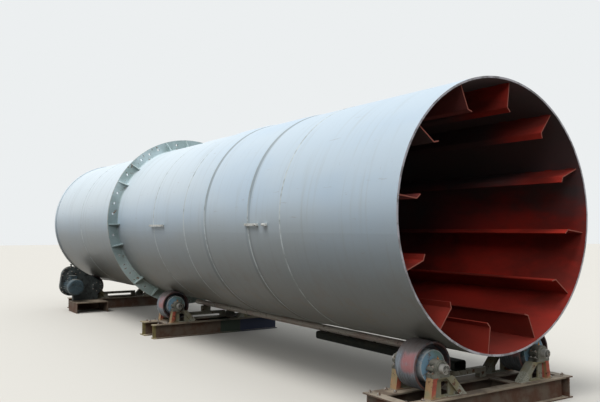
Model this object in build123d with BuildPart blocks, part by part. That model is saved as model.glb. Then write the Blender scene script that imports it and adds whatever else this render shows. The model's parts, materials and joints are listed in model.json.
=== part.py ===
"""Rotary dryer drum, open at both ends, lying on three roller stands.

X runs along the drum, with the near mouth at +X. Y runs across and Z is up.
The origin is on the floor, below the middle of the drum. Stations are distances
from the near mouth, and angles turn about the drum's axis from +Y towards +Z.
"""

import os
from math import cos, radians, sin

from build123d import *

os.makedirs("parts", exist_ok=True)

# Drum shell
drum_length = 10500.0
shell_inner_radius = 1182.0
shell_thickness = 18.0
segment_count = 6
first_segment_angle = 7.5

# Thicker courses round the tyre seat, and the band at the far end
outer_course_start = 2374.0
outer_course_end = 5045.0
outer_course_extra = 9.0
tyre_course_start = 3416.0
tyre_course_end = 4000.0
tyre_course_extra = 21.0
course_taper = 40.0
end_band_width = 80.0
end_band_height = 14.0

# Lifting flights
flight_count = 12
first_flight_angle = 22.5
flight_height = 222.0
flight_thickness = 10.0
flight_lip = 52.0
flight_lip_angle = 50.0
flight_bend_radius = 14.0
flight_inset = 40.0

# Mounting flange of the girth gear
flange_station = 6582.0
flange_height = 154.0
flange_thickness = 30.0
flange_segment_count = 4
flange_joint_gap = 2.0
flange_hole_radius = 18.0
bolt_circle_offset = 80.0
bolt_pitch_angle = 7.5
gusset_group_count = 8
first_gusset_group_angle = 9.75
gusset_thickness = 14.0
gusset_length = 120.0
gusset_edge_margin = 8.0

# Alignment clips on the shell
clip_angle = 183.5
clip_stations = [(4640.0, 5120.0), (2125.0, 2390.0), (1945.0, 2030.0)]
clip_height = 30.0
clip_bar = 16.0
clip_width = 26.0
clip_foot_inset = 30.0
clip_foot_length = 22.0

# Gaps between pieces that seat on each other
seat_gap = 0.3
journal_clearance = 0.06

# Support rollers
roller_radius = 206.0
roller_width = 240.0
roller_seat_angle = 27.0
roller_rim = 18.0
roller_web = 60.0
hub_radius = 137.0
rim_chamfer = 4.0
journal_radius = 40.0
journal_end = 50.0

# Bearings, at their distances before and behind the roller's middle
front_bearing_offset = 175.0
rear_bearing_offset = 250.0
bearing_width = 90.0
bearing_centre_height = 75.0
bearing_wall = 28.0
bearing_foot_length = 180.0
bearing_foot_height = 34.0

# Pedestals, measured outwards and inwards from the roller's axis
pedestal_height = 172.0
pedestal_width = 80.0
pedestal_foot_outer = 115.0
pedestal_head_outer = 90.0
pedestal_foot_inner = 300.0
pedestal_head_inner = 140.0
pedestal_outer_leg = 46.0
pedestal_inner_leg = 84.0
pedestal_web = 16.0
pedestal_flange = 12.0
window_inset = 68.0
window_bottom = 20.0
window_width = 80.0
window_height = 112.0

# Base frames, with their reach before and behind the roller's middle
frame_length = 2060.0
frame_front = 250.0
frame_rear = 320.0
front_beam_width = 110.0
rear_beam_width = 200.0
beam_height = 200.0
beam_web = 9.0
beam_flange = 12.0
end_tie_width = 100.0
inner_tie_offset = 340.0
inner_tie_width = 90.0
open_end_tie_offset = 760.0

# Bars between the rear pedestals, each on two feet
bar_offset = 210.0
bar_width = 60.0
bar_height = 45.0
bar_length = 660.0
bar_foot_height = 45.0
bar_foot_length = 80.0
bar_foot_offset = 290.0

# Where the stands are
near_stand_station = 320.0
middle_stand_before_flange = 892.0
far_stand_from_end = 650.0

# Square spine tube and the pipe that keeps two stands apart
spine_width = 150.0
spine_height = 90.0
spine_wall = 8.0
spine_corner_radius = 28.0
spine_start_offset = 190.0
spine_length = 2220.0
pipe_radius = 38.0
pipe_wall = 5.0
pipe_start = 700.0
pipe_overhang = 510.0
saddle_width = 140.0

# Drive of the far left roller
motor_radius = 128.0
motor_fin_height = 22.0
motor_fin_thickness = 6.0
motor_fin_count = 24
motor_length = 420.0
motor_cowl_length = 110.0
motor_cowl_corner = 30.0
motor_offset = 500.0
motor_rise = 38.0
terminal_box = (150.0, 120.0, 90.0)
case_thickness = 100.0
case_motor_radius = 190.0
case_roller_radius = 130.0
case_top_radius = 185.0
case_top_offset = 480.0
case_top_rise = 225.0
case_foot_length = 470.0
case_foot_offset = 210.0
case_bearing_gap = 5.0
plinth_plate = 20.0
plinth_side = 14.0
plinth_length = 590.0
plinth_reach = 560.0
plinth_offset = 210.0

# Sizes that follow from the ones above
shell_radius = shell_inner_radius + shell_thickness
flange_radius = shell_radius + flange_height
roller_distance = shell_radius + seat_gap + roller_radius
roller_offset = roller_distance * sin(radians(roller_seat_angle))
roller_height = beam_height + pedestal_height + bearing_centre_height
axis_height = roller_height + roller_distance * cos(radians(roller_seat_angle))
bolt_circle_radius = shell_radius + bolt_circle_offset
bearing_radius = journal_radius + bearing_wall
bearing_offsets = (-front_bearing_offset, rear_bearing_offset)
front_journal_reach = front_bearing_offset + bearing_width / 2 + journal_end
rear_journal_reach = rear_bearing_offset + bearing_width / 2 + journal_end
bar_top = beam_height + bar_foot_height + bar_height
pipe_height = bar_top + spine_height + seat_gap + pipe_radius
middle_stand_station = flange_station - middle_stand_before_flange
far_stand_station = drum_length - far_stand_from_end
closed_beam_length = frame_length - 2 * end_tie_width
beam_gap_front = front_beam_width - frame_front
beam_gap_rear = frame_rear - rear_beam_width
spine_start = near_stand_station + spine_start_offset
spine_end = spine_start + spine_length
drum_axis = Axis((0, 0, axis_height), (1, 0, 0))


def place(station):
    """X of a station measured from the near mouth."""
    return drum_length / 2 - station


def radial_plane(angle):
    """Plane through the drum's axis: local x along the drum, local y outwards."""
    return Plane(
        origin=(0, 0, axis_height),
        x_dir=(1, 0, 0),
        z_dir=(0, -sin(radians(angle)), cos(radians(angle))),
    )


def section_plane(station, angle=0.0):
    """Plane across the drum: local x outwards at the angle, local z along +X."""
    return Plane(
        origin=(place(station), 0, axis_height),
        x_dir=(0, cos(radians(angle)), sin(radians(angle))),
        z_dir=(1, 0, 0),
    )


def upright_plane(station, offset, height):
    """Plane across the drum: local x along +Y, local y up, local z along +X."""
    return Plane(origin=(place(station), offset, height), x_dir=(0, 1, 0), z_dir=(1, 0, 0))


def save(part, name):
    part.label = name
    export_step(part, f"parts/{name}.step")


def outer_radius(station):
    """Outer radius of the shell, away from the tapers."""
    if tyre_course_start < station < tyre_course_end:
        return shell_radius + tyre_course_extra
    if outer_course_start < station < outer_course_end:
        return shell_radius + outer_course_extra
    return shell_radius


# Shell wall in segments, each with the stepped courses rolled into its outside
outer_profile = [
    (place(0), shell_radius),
    (place(outer_course_start), shell_radius),
    (place(outer_course_start + course_taper), shell_radius + outer_course_extra),
    (place(tyre_course_start), shell_radius + outer_course_extra),
    (place(tyre_course_start + course_taper), shell_radius + tyre_course_extra),
    (place(tyre_course_end - course_taper), shell_radius + tyre_course_extra),
    (place(tyre_course_end), shell_radius + outer_course_extra),
    (place(outer_course_end - course_taper), shell_radius + outer_course_extra),
    (place(outer_course_end), shell_radius),
    (place(drum_length - end_band_width), shell_radius),
    (place(drum_length - end_band_width), shell_radius + end_band_height),
    (place(drum_length), shell_radius + end_band_height),
]
segment_arc = 360.0 / segment_count
for index in range(segment_count):
    segment_angle = first_segment_angle + index * segment_arc
    with BuildPart() as shell_segment:
        with BuildSketch(radial_plane(segment_angle)):
            with BuildLine():
                Polyline(
                    (place(0), shell_inner_radius),
                    *outer_profile,
                    (place(drum_length), shell_inner_radius),
                    close=True,
                )
            make_face()
        revolve(axis=drum_axis, revolution_arc=segment_arc)
    save(shell_segment.part, f"shell_segment_{index + 1}")

# Lifting flights: a radial plate with its free edge bent over
flight_base = shell_inner_radius - seat_gap
flight_bend = shell_inner_radius - flight_height
for index in range(flight_count):
    flight_angle = first_flight_angle + index * 360.0 / flight_count
    with BuildPart() as flight:
        with BuildSketch(section_plane(drum_length - flight_inset, flight_angle)):
            with BuildLine():
                FilletPolyline(
                    (flight_base, 0),
                    (flight_bend, 0),
                    (
                        flight_bend - flight_lip * cos(radians(flight_lip_angle)),
                        -flight_lip * sin(radians(flight_lip_angle)),
                    ),
                    radius=flight_bend_radius,
                )
            trace(line_width=flight_thickness)
        extrude(amount=drum_length - 2 * flight_inset)
    save(flight.part, f"flight_{index + 1:02d}")

# Girth gear's mounting flange in segments, drilled between the gussets
group_arc = 360.0 / gusset_group_count
hole_angles = []
gusset_angles = []
for group in range(gusset_group_count):
    group_angle = first_gusset_group_angle + group * group_arc
    hole_angles += [group_angle + step * bolt_pitch_angle for step in (0, 2, 3, 4)]
    gusset_angles += [group_angle + step * bolt_pitch_angle for step in (-1, 1)]

with BuildPart() as girth_flange:
    with BuildSketch(section_plane(flange_station + flange_thickness)):
        Circle(flange_radius)
        Circle(shell_radius + seat_gap, mode=Mode.SUBTRACT)
        for angle in hole_angles:
            hole_place = Vector(bolt_circle_radius, 0).rotate(Axis.Z, angle)
            with Locations(hole_place):
                Circle(flange_hole_radius, mode=Mode.SUBTRACT)
        for segment in range(flange_segment_count):
            joint_angle = (
                first_gusset_group_angle + 4.5 * bolt_pitch_angle
                + segment * 360.0 / flange_segment_count
            )
            joint_place = Vector(shell_radius + flange_height / 2, 0).rotate(Axis.Z, joint_angle)
            with Locations(Location(joint_place, (0, 0, joint_angle))):
                Rectangle(2 * flange_height, flange_joint_gap, mode=Mode.SUBTRACT)
    extrude(amount=flange_thickness)
save(girth_flange.part, "girth_flange")

with BuildPart() as flange_gussets:
    for angle in gusset_angles:
        with BuildSketch(radial_plane(angle)):
            with BuildLine():
                Polyline(
                    (place(flange_station), shell_radius + seat_gap),
                    (place(flange_station), flange_radius - gusset_edge_margin),
                    (
                        place(flange_station) + gusset_edge_margin,
                        flange_radius - gusset_edge_margin,
                    ),
                    (
                        place(flange_station) + gusset_length,
                        shell_radius + seat_gap + gusset_edge_margin,
                    ),
                    (place(flange_station) + gusset_length, shell_radius + seat_gap),
                    close=True,
                )
            make_face()
        extrude(amount=gusset_thickness / 2, both=True)
save(flange_gussets.part, "flange_gussets")

# Alignment clips: a bar on two feet, on both sides of the shell
with BuildPart() as shell_clips:
    for angle in (clip_angle, clip_angle + 180):
        for clip_start, clip_end in clip_stations:
            clip_base = outer_radius(clip_start) + seat_gap
            with BuildSketch(radial_plane(angle)):
                with Locations(((place(clip_start) + place(clip_end)) / 2, clip_base + clip_height)):
                    Rectangle(clip_end - clip_start, clip_bar, align=(Align.CENTER, Align.MAX))
                foot_places = [
                    (place(clip_start + clip_foot_inset), clip_base),
                    (place(clip_end - clip_foot_inset), clip_base),
                ]
                with Locations(*foot_places):
                    Rectangle(
                        clip_foot_length,
                        clip_height - clip_bar / 2,
                        align=(Align.CENTER, Align.MIN),
                    )
            extrude(amount=clip_width / 2, both=True)
save(shell_clips.part, "shell_clips")


def make_roller(station, offset, name):
    """Roller with rim, web, hub and the journals that run in its bearings."""
    roller_plane = Plane(
        origin=(place(station), offset, roller_height), x_dir=(1, 0, 0), z_dir=(0, -1, 0)
    )
    half_width = roller_width / 2
    rim_inner = roller_radius - roller_rim
    half_profile = [
        (half_width, journal_radius),
        (half_width, hub_radius),
        (roller_web / 2, hub_radius),
        (roller_web / 2, rim_inner),
        (half_width, rim_inner),
        (half_width, roller_radius - rim_chamfer),
        (half_width - rim_chamfer, roller_radius),
    ]
    with BuildPart() as roller:
        with BuildSketch(roller_plane):
            with BuildLine():
                Polyline(
                    (front_journal_reach, 0),
                    (front_journal_reach, journal_radius),
                    *half_profile,
                    *[(-x, r) for x, r in reversed(half_profile)],
                    (-rear_journal_reach, journal_radius),
                    (-rear_journal_reach, 0),
                    close=True,
                )
            make_face()
        revolve(axis=Axis((0, offset, roller_height), (1, 0, 0)))
    save(roller.part, name)


def make_bearings(station, name):
    """Four pillow blocks of one stand."""
    with BuildPart() as bearings:
        for side in (-1, 1):
            for offset in bearing_offsets:
                bearing_plane = upright_plane(
                    station + offset, side * roller_offset, roller_height
                )
                with BuildSketch(bearing_plane):
                    Circle(bearing_radius)
                    with Locations((0, -bearing_centre_height)):
                        Rectangle(
                            2 * bearing_radius,
                            bearing_centre_height,
                            align=(Align.CENTER, Align.MIN),
                        )
                        Rectangle(
                            bearing_foot_length,
                            bearing_foot_height,
                            align=(Align.CENTER, Align.MIN),
                        )
                    Circle(journal_radius + journal_clearance, mode=Mode.SUBTRACT)
                extrude(amount=bearing_width / 2, both=True)
    save(bearings.part, name)


def pedestal_corners(side, edge=0.0, outer_leg=0.0, inner_leg=0.0):
    """Corners of a pedestal's outline, or of the recess inside its edge and legs."""
    rows = []
    for height in (edge, pedestal_height - edge):
        rise = height / pedestal_height
        outer = pedestal_foot_outer + rise * (pedestal_head_outer - pedestal_foot_outer)
        inner = pedestal_foot_inner + rise * (pedestal_head_inner - pedestal_foot_inner)
        rows.append([(side * (outer - outer_leg), height), (side * (inner_leg - inner), height)])
    return rows[0] + rows[1][::-1]


def make_pedestals(station, name):
    """Four pedestals of one stand, each a web with edges, two legs and a window."""
    with BuildPart() as pedestals:
        for side in (-1, 1):
            for offset in bearing_offsets:
                foot_plane = upright_plane(station + offset, side * roller_offset, beam_height)
                with BuildSketch(foot_plane):
                    with BuildLine():
                        Polyline(*pedestal_corners(side), close=True)
                    make_face()
                extrude(amount=pedestal_width / 2, both=True)
                with BuildSketch(foot_plane) as recess:
                    with BuildLine():
                        Polyline(
                            *pedestal_corners(
                                side, pedestal_flange, pedestal_outer_leg, pedestal_inner_leg
                            ),
                            close=True,
                        )
                    make_face()
                extrude(amount=pedestal_width / 2, both=True, mode=Mode.SUBTRACT)
                with BuildSketch(foot_plane):
                    add(recess.sketch_local)
                    with Locations((-side * window_inset, window_bottom)):
                        Rectangle(
                            window_width,
                            window_height,
                            align=(Align.CENTER, Align.MIN),
                            mode=Mode.SUBTRACT,
                        )
                extrude(amount=pedestal_web / 2, both=True)
    save(pedestals.part, name)


def beam_section(width, height, web, flange):
    """I-section centred on its plane, for use in a sketch."""
    Rectangle(width, height)
    pocket = (width - web) / 2
    with Locations((-(web + pocket) / 2, 0), ((web + pocket) / 2, 0)):
        Rectangle(pocket, height - 2 * flange, mode=Mode.SUBTRACT)


def make_base_beams(station, beam_length, name):
    """Front and rear cross beams of one stand."""
    beams = [
        (front_beam_width / 2 - frame_front, front_beam_width),
        (frame_rear - rear_beam_width / 2, rear_beam_width),
    ]
    with BuildPart() as base_beams:
        for offset, width in beams:
            beam_plane = Plane(
                origin=(place(station + offset), -beam_length / 2, beam_height / 2),
                x_dir=(1, 0, 0),
                z_dir=(0, 1, 0),
            )
            with BuildSketch(beam_plane):
                beam_section(width, beam_height, beam_web, beam_flange)
            extrude(amount=beam_length)
    save(base_beams.part, name)


def make_base_ties(station, end_tie, name):
    """Two ties at the ends and two between the rollers, each given as y, width, front, rear."""
    inner_tie = (inner_tie_offset, inner_tie_width, beam_gap_front, beam_gap_rear)
    with BuildPart() as base_ties:
        for offset, width, tie_front, tie_rear in (end_tie, inner_tie):
            for side in (-1, 1):
                with BuildSketch(
                    upright_plane(station + tie_rear, side * offset, beam_height / 2)
                ):
                    beam_section(width, beam_height, beam_web, beam_flange)
                extrude(amount=tie_rear - tie_front)
    save(base_ties.part, name)


stands = {
    "near": near_stand_station,
    "middle": middle_stand_station,
    "far": far_stand_station,
}
for stand, station in stands.items():
    make_roller(station, -roller_offset, f"{stand}_left_roller")
    make_roller(station, roller_offset, f"{stand}_right_roller")
    make_bearings(station, f"{stand}_bearings")
    make_pedestals(station, f"{stand}_pedestals")

# Base frames: the near one is closed by end members, the others have open ends
closed_end_tie = ((frame_length - end_tie_width) / 2, end_tie_width, -frame_front, frame_rear)
open_end_tie = (open_end_tie_offset, end_tie_width, beam_gap_front, beam_gap_rear)
for stand, station in stands.items():
    closed = stand == "near"
    beam_length = closed_beam_length if closed else frame_length
    make_base_beams(station, beam_length, f"{stand}_base_beams")
    make_base_ties(station, closed_end_tie if closed else open_end_tie, f"{stand}_base_ties")

# Bars between the rear pedestals, with a saddle for the pipe on the middle stand's bar
with BuildPart() as cross_bars:
    for station in stands.values():
        bar_x = place(station + bar_offset)
        with BuildSketch(Plane.XY.offset(beam_height)):
            with Locations((bar_x, -bar_foot_offset), (bar_x, bar_foot_offset)):
                Rectangle(bar_width, bar_foot_length)
        extrude(amount=bar_foot_height)
        with BuildSketch(Plane.XY.offset(beam_height + bar_foot_height)):
            with Locations((bar_x, 0)):
                Rectangle(bar_width, bar_length)
        extrude(amount=bar_height)
    with BuildSketch(Plane.XY.offset(bar_top)):
        with Locations((place(middle_stand_station + bar_offset), 0)):
            Rectangle(bar_width, saddle_width)
    extrude(amount=spine_height)
save(cross_bars.part, "cross_bars")

# Square spine tube, open at both ends
with BuildPart() as spine_tube:
    with BuildSketch(upright_plane(spine_end, 0, bar_top + spine_height / 2)):
        RectangleRounded(spine_width, spine_height, spine_corner_radius)
        RectangleRounded(
            spine_width - 2 * spine_wall,
            spine_height - 2 * spine_wall,
            spine_corner_radius - spine_wall,
            mode=Mode.SUBTRACT,
        )
    extrude(amount=spine_end - spine_start)
save(spine_tube.part, "spine_tube")

# Pipe that keeps the near and middle stands apart
pipe_end = middle_stand_station + pipe_overhang
with BuildPart() as spacer_pipe:
    with BuildSketch(upright_plane(pipe_end, 0, pipe_height)):
        Circle(pipe_radius)
        Circle(pipe_radius - pipe_wall, mode=Mode.SUBTRACT)
    extrude(amount=pipe_end - pipe_start)
save(spacer_pipe.part, "spacer_pipe")

# Drive: gear case in front of the far stand's left bearing, with the motor on its front
case_back = far_stand_station - front_bearing_offset - bearing_width / 2 - case_bearing_gap
case_front = case_back - case_thickness
motor_y = -roller_offset - motor_offset
motor_z = roller_height + motor_rise
journal_end_station = far_stand_station - front_journal_reach
with BuildPart() as drive_gear_case:
    with BuildSketch(upright_plane(case_back, 0, 0)):
        with BuildSketch(mode=Mode.PRIVATE) as case_circles:
            with Locations((motor_y, motor_z)):
                Circle(case_motor_radius)
            with Locations((-roller_offset - case_top_offset, roller_height + case_top_rise)):
                Circle(case_top_radius)
            with Locations((-roller_offset, roller_height)):
                Circle(case_roller_radius)
        make_hull(case_circles.edges())
        with Locations((-roller_offset - case_foot_offset, beam_height)):
            Rectangle(
                case_foot_length, roller_height - beam_height, align=(Align.CENTER, Align.MIN)
            )
    extrude(amount=case_thickness)
    with BuildSketch(upright_plane(case_back, -roller_offset, roller_height)):
        Circle(journal_radius + journal_clearance)
    extrude(
        amount=case_back - journal_end_station + case_bearing_gap, mode=Mode.SUBTRACT
    )
save(drive_gear_case.part, "drive_gear_case")

with BuildPart() as drive_motor:
    with BuildSketch(upright_plane(case_front, motor_y, motor_z)):
        Circle(motor_radius)
        with PolarLocations(motor_radius, motor_fin_count):
            Rectangle(
                2 * motor_fin_height, motor_fin_thickness, align=(Align.CENTER, Align.CENTER)
            )
    extrude(amount=motor_length - motor_cowl_length)
    cowl_plane = upright_plane(case_front - motor_length + motor_cowl_length, motor_y, motor_z)
    with BuildSketch(cowl_plane):
        Circle(motor_radius + motor_fin_height)
    extrude(amount=motor_cowl_length)
    fillet(
        drive_motor.faces().sort_by(Axis.X)[-1].outer_wire().edges(), radius=motor_cowl_corner
    )
    with BuildSketch(Plane.XY.offset(motor_z + motor_radius - motor_fin_height)):
        with Locations((place(case_front - (motor_length - motor_cowl_length) / 2), motor_y)):
            Rectangle(terminal_box[0], terminal_box[1])
    extrude(amount=terminal_box[2])
save(drive_motor.part, "drive_motor")

with BuildPart() as drive_plinth:
    plinth_centre = -roller_offset - plinth_offset
    plinth_station = far_stand_station - frame_front
    with BuildSketch(upright_plane(plinth_station, plinth_centre, beam_height / 2)):
        Rectangle(plinth_length, beam_height)
        with Locations((0, -plinth_plate / 2)):
            Rectangle(
                plinth_length - 2 * plinth_side, beam_height - plinth_plate, mode=Mode.SUBTRACT
            )
    extrude(amount=plinth_reach)
save(drive_plinth.part, "drive_plinth")
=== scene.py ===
import json
import math
import random
import bmesh
import bpy
from mathutils import Matrix, Vector


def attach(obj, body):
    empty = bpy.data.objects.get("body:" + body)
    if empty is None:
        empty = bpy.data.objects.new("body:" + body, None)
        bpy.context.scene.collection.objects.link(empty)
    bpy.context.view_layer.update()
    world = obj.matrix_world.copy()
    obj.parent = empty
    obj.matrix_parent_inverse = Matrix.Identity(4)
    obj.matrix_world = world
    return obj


# Rotary dryer drum on three roller stands. Metres, x along the drum, near mouth at +x.
# A station is a distance from the near mouth towards the far end.
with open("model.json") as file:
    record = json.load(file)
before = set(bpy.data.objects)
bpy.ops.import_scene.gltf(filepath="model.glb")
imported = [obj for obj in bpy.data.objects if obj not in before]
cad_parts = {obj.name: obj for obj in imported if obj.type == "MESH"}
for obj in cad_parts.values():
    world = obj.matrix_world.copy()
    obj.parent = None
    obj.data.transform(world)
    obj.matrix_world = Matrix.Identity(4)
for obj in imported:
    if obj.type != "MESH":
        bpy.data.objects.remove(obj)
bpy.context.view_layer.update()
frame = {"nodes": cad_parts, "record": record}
nodes = frame["nodes"]
spins = {joint["child"]: Vector(joint["pos_m"]) for joint in frame["record"]["behaviour"]["joints"]}
rollers = [body for body in spins if body.endswith("_roller")]
standNames = ("near", "middle", "far")
drum = {
    "axisHeight": spins["drum"].z,
    "outerRadius": 1.2,
    "innerRadius": 1.182,
    "mouth": 5.25,
    "coursesRise": ((2.374, 5.045, 0.009), (3.416, 4.0, 0.021)),  # first and last station, extra radius
    "farBand": 0.08,
    "flightGap": 0.04,
    "steps": (1.845, 2.887),  # x of the two plate steps that face the near mouth
    "stepShadowLines": (1.872, 2.912),  # x of the painted shadow line beside each
}
flange = {"front": -1.332, "back": -1.362, "radius": 1.354}
print("frame loaded:", len(nodes), "nodes")


# Camera at the photograph's place
view = {"lens": 41.175, "place": (9.239, -4.681, 1.585), "turn": (92.30, 0, 56.89)}
camera = bpy.data.objects.new("photoCamera", bpy.data.cameras.new("photoCamera"))
camera.data.lens = view["lens"]
camera.data.sensor_width = 36
camera.data.clip_end = 200
camera.location = view["place"]
camera.rotation_euler = [math.radians(angle) for angle in view["turn"]]
bpy.context.scene.collection.objects.link(camera)
bpy.context.scene.camera = camera
print("camera placed")


class Wire:
    # one output socket; arithmetic on it adds Math nodes
    def __init__(self, sheet, socket):
        self.sheet = sheet
        self.socket = socket

    def maths(self, operation, first, second):
        return self.sheet.node("ShaderNodeMath", {"operation": operation}, {0: first, 1: second})

    def __add__(self, other):
        return self.maths("ADD", self, other)

    def __sub__(self, other):
        return self.maths("SUBTRACT", self, other)

    def __rsub__(self, other):
        return self.maths("SUBTRACT", other, self)

    def __mul__(self, other):
        return self.maths("MULTIPLY", self, other)

    def __truediv__(self, other):
        return self.maths("DIVIDE", self, other)

    def __pow__(self, other):
        return self.maths("POWER", self, other)

    def __gt__(self, other):
        return self.maths("GREATER_THAN", self, other)

    def __lt__(self, other):
        return self.maths("LESS_THAN", self, other)

    def __abs__(self):
        return self.maths("ABSOLUTE", self, 0)

    __radd__ = __add__
    __rmul__ = __mul__


class Sheet:
    # a node tree being written
    def __init__(self, tree):
        self.tree = tree
        tree.nodes.clear()

    def node(self, kind, settings=None, sockets=None, out=0):
        made = self.tree.nodes.new(kind)
        for name, value in (settings or {}).items():
            if name == "stops":
                elements = made.color_ramp.elements
                while len(elements) > 1:
                    elements.remove(elements[-1])
                for number, (place, colour) in enumerate(value):
                    stop = elements[0] if number == 0 else elements.new(place)
                    stop.position = place
                    stop.color = colour
            else:
                setattr(made, name, value)
        for name, value in (sockets or {}).items():
            if isinstance(value, Wire):
                self.tree.links.new(value.socket, made.inputs[name])
            else:
                made.inputs[name].default_value = value
        if isinstance(out, tuple):
            return [Wire(self, made.outputs[name]) for name in out]
        return Wire(self, made.outputs[out]) if len(made.outputs) else None


def tint(red, green, blue):
    # a colour as a paint chip shows it, 0 to 255, made linear
    def linear(value):
        value /= 255
        return value / 12.92 if value <= 0.04045 else ((value + 0.055) / 1.055) ** 2.4
    return (linear(red), linear(green), linear(blue), 1)


def axesOf(vector):
    return vector.sheet.node("ShaderNodeSeparateXYZ", sockets={0: vector}, out=("X", "Y", "Z"))


def facingOf(point):
    # the direction that the surface faces there
    return axesOf(point.sheet.node("ShaderNodeNewGeometry", out="Normal"))


def stretched(vector, scale):
    return vector.sheet.node("ShaderNodeMapping", sockets={"Vector": vector, "Scale": scale})


def noise(vector, scale, detail=4, rough=0.55):
    return vector.sheet.node("ShaderNodeTexNoise", {"noise_dimensions": "3D"}, {
        "Vector": vector, "Scale": scale, "Detail": detail, "Roughness": rough}, "Fac")


def eased(value, low, high, start, end):
    return value.sheet.node("ShaderNodeMapRange", {"interpolation_type": "SMOOTHSTEP"}, {
        "Value": value, "From Min": low, "From Max": high, "To Min": start, "To Max": end})


def rise(value, low, high):
    # 0 below low, 1 above high, smooth between
    return eased(value, low, high, 0.0, 1.0)


def fall(value, low, high):
    return eased(value, low, high, 1.0, 0.0)


def mixed(factor, under, over):
    return factor.sheet.node("ShaderNodeMix", {"data_type": "RGBA", "clamp_factor": True},
                             {0: factor, 6: under, 7: over}, 2)


def worn(point, scale, low, high):
    # chipped patches with hard edges
    return rise(noise(point, scale, 6, 0.65), low, high)


def radiusFrom(across, up, acrossCentre, upCentre):
    return ((across - acrossCentre) ** 2.0 + (up - upCentre) ** 2.0) ** 0.5


def nearest(along, places):
    # distance along the drum to the nearest of some places
    reach = abs(along - places[0])
    for place in places[1:]:
        reach = reach.maths("MINIMUM", reach, abs(along - place))
    return reach


def surface(name, write):
    material = bpy.data.materials.new(name)
    material.use_nodes = True
    sheet = Sheet(material.node_tree)
    look = write(sheet.node("ShaderNodeTexCoord", out="Object"))
    inputs = {"Base Color": look["colour"], "Roughness": look["rough"], "Metallic": look.get("metal", 0.0),
              "Specular IOR Level": look.get("shine", 0.4)}
    if "bump" in look:
        height, strength, distance = look["bump"]
        inputs["Normal"] = sheet.node("ShaderNodeBump", sockets={
            "Height": height, "Strength": strength, "Distance": distance})
    shader = sheet.node("ShaderNodeBsdfPrincipled", sockets=inputs)
    sheet.node("ShaderNodeOutputMaterial", sockets={"Surface": shader})
    return material


# where the painted shade inside the drum falls, by height and by length
# heights in drum radii above the axis, lengths in metres from the middle of the drum
insideShade = {"upper": (-0.12, 0.42), "cleared": (4.7, 5.25), "low": (-0.5, 0.0), "deep": (2.8, 5.1)}


def insideShadeOf(along, height, blotch, litShare=0.0):
    # inside the drum: painted shade, dark above the middle and deep in, less so low down; the last argument
    # takes it off near the mouth, where light reaches
    upper = rise(height + (blotch - 0.5) * 0.6, *insideShade["upper"]) * 0.92
    fromMiddle = abs(along)
    upper = upper * (1 - rise(fromMiddle + blotch * 0.6, *insideShade["cleared"]) * litShare)
    deep = fall(fromMiddle + blotch + fall(height, *insideShade["low"]) * 1.6, *insideShade["deep"]) * 0.85
    return upper + deep - upper * deep


def shellLook(point):
    chips = {
        "paint": tint(187, 202, 213), "paintCool": tint(178, 197, 213), "topHighlight": tint(212, 222, 227),
        "streak": tint(166, 172, 172), "grimeAndShade": tint(106, 105, 97), "mud": tint(126, 113, 96),
        "rust": tint(132, 116, 104), "stepShadow": tint(84, 92, 92), "primer": tint(168, 36, 22),
        "primerDark": tint(106, 27, 17), "dust": tint(104, 36, 26), "insideShade": tint(70, 69, 71),
        "rim": tint(190, 188, 194), "rimBare": tint(140, 138, 140),
    }
    along, across, up = axesOf(point)
    radius = radiusFrom(across, up, 0.0, drum["axisHeight"])
    height = (up - drum["axisHeight"]) / drum["outerRadius"]
    # outside: broad cloudy tones, rain streaks down the sides, a painted highlight on the top, and grime with
    # painted shade below
    cloud = noise(stretched(point, (0.35, 1, 1)), 1.1, 3)
    colour = mixed(rise(cloud, 0.38, 0.66), chips["paint"], chips["paintCool"])
    # painted highlight: the top of the shell is paler, most towards the far end
    topHighlight = fall(along + cloud, -1.5, 5.0) * rise(height, -0.12, 0.36)
    colour = mixed(topHighlight * 0.85, colour, chips["topHighlight"])
    streaks = noise(stretched(point, (9, 0.5, 0.5)), 1.6, 5, 0.6)
    sides = fall(abs(height), 0.75, 1.0)
    colour = mixed(rise(streaks, 0.5, 0.74) * sides * 0.34, colour, chips["streak"])
    # darker towards the bottom: grime with painted shade
    lower = height + (cloud - 0.5) * 0.25
    grimeAndShadeBelow = fall(lower, -0.28, 0.2) * 0.52 + fall(lower, -0.95, -0.1) * 0.44
    colour = mixed(grimeAndShadeBelow, colour, chips["grimeAndShade"])
    colour = mixed(worn(point, 23, 0.66, 0.7) * 0.3, colour, chips["streak"])
    splash = rise(noise(stretched(point, (1, 1.6, 0.7)), 4.2, 7, 0.68), 0.5, 0.62)
    colour = mixed(splash * fall(height, -0.95, -0.2) * 0.42, colour, chips["mud"])
    scuffs = rise(noise(stretched(point, (0.7, 5, 5)), 5, 5, 0.6), 0.66, 0.7)
    colour = mixed(scuffs * 0.22, colour, chips["rust"])
    # a painted shadow line beside the two plate steps, darker on the upper half
    line = fall(nearest(along, drum["stepShadowLines"]), 0.016, 0.034) * (rise(height, -0.15, 0.3) * 0.25 + 0.3)
    colour = mixed(line, colour, chips["stepShadow"])
    # inside: red primer, dusty below
    blotch = noise(stretched(point, (0.5, 1, 1)), 2.2, 5, 0.6)
    primer = mixed(rise(blotch, 0.36, 0.7), chips["primer"], chips["primerDark"])
    primer = mixed(fall(height, -1.05, -0.55) * 0.85, primer, chips["dust"])
    # painted shade deep inside and above the middle
    primer = mixed(insideShadeOf(along, height, blotch), primer, chips["insideShade"])
    inner = radius < (drum["innerRadius"] + 0.003)
    colour = mixed(inner, colour, primer)
    # cut ends of the wall
    edge = abs(along) > (drum["mouth"] - 0.0008)
    rim = mixed(worn(point, 9, 0.45, 0.6), chips["rim"], chips["rimBare"])
    colour = mixed(edge, colour, rim)
    gloss = 0.36 + streaks * 0.12 + inner * 0.34
    dents = noise(stretched(point, (1, 1.6, 1.6)), 2.4, 2, 0.4)
    uneven = dents * 0.9 + noise(point, 60, 3) * 0.1
    return {"colour": colour, "rough": gloss, "shine": 0.35, "bump": (uneven, 0.35, 0.006)}


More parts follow.
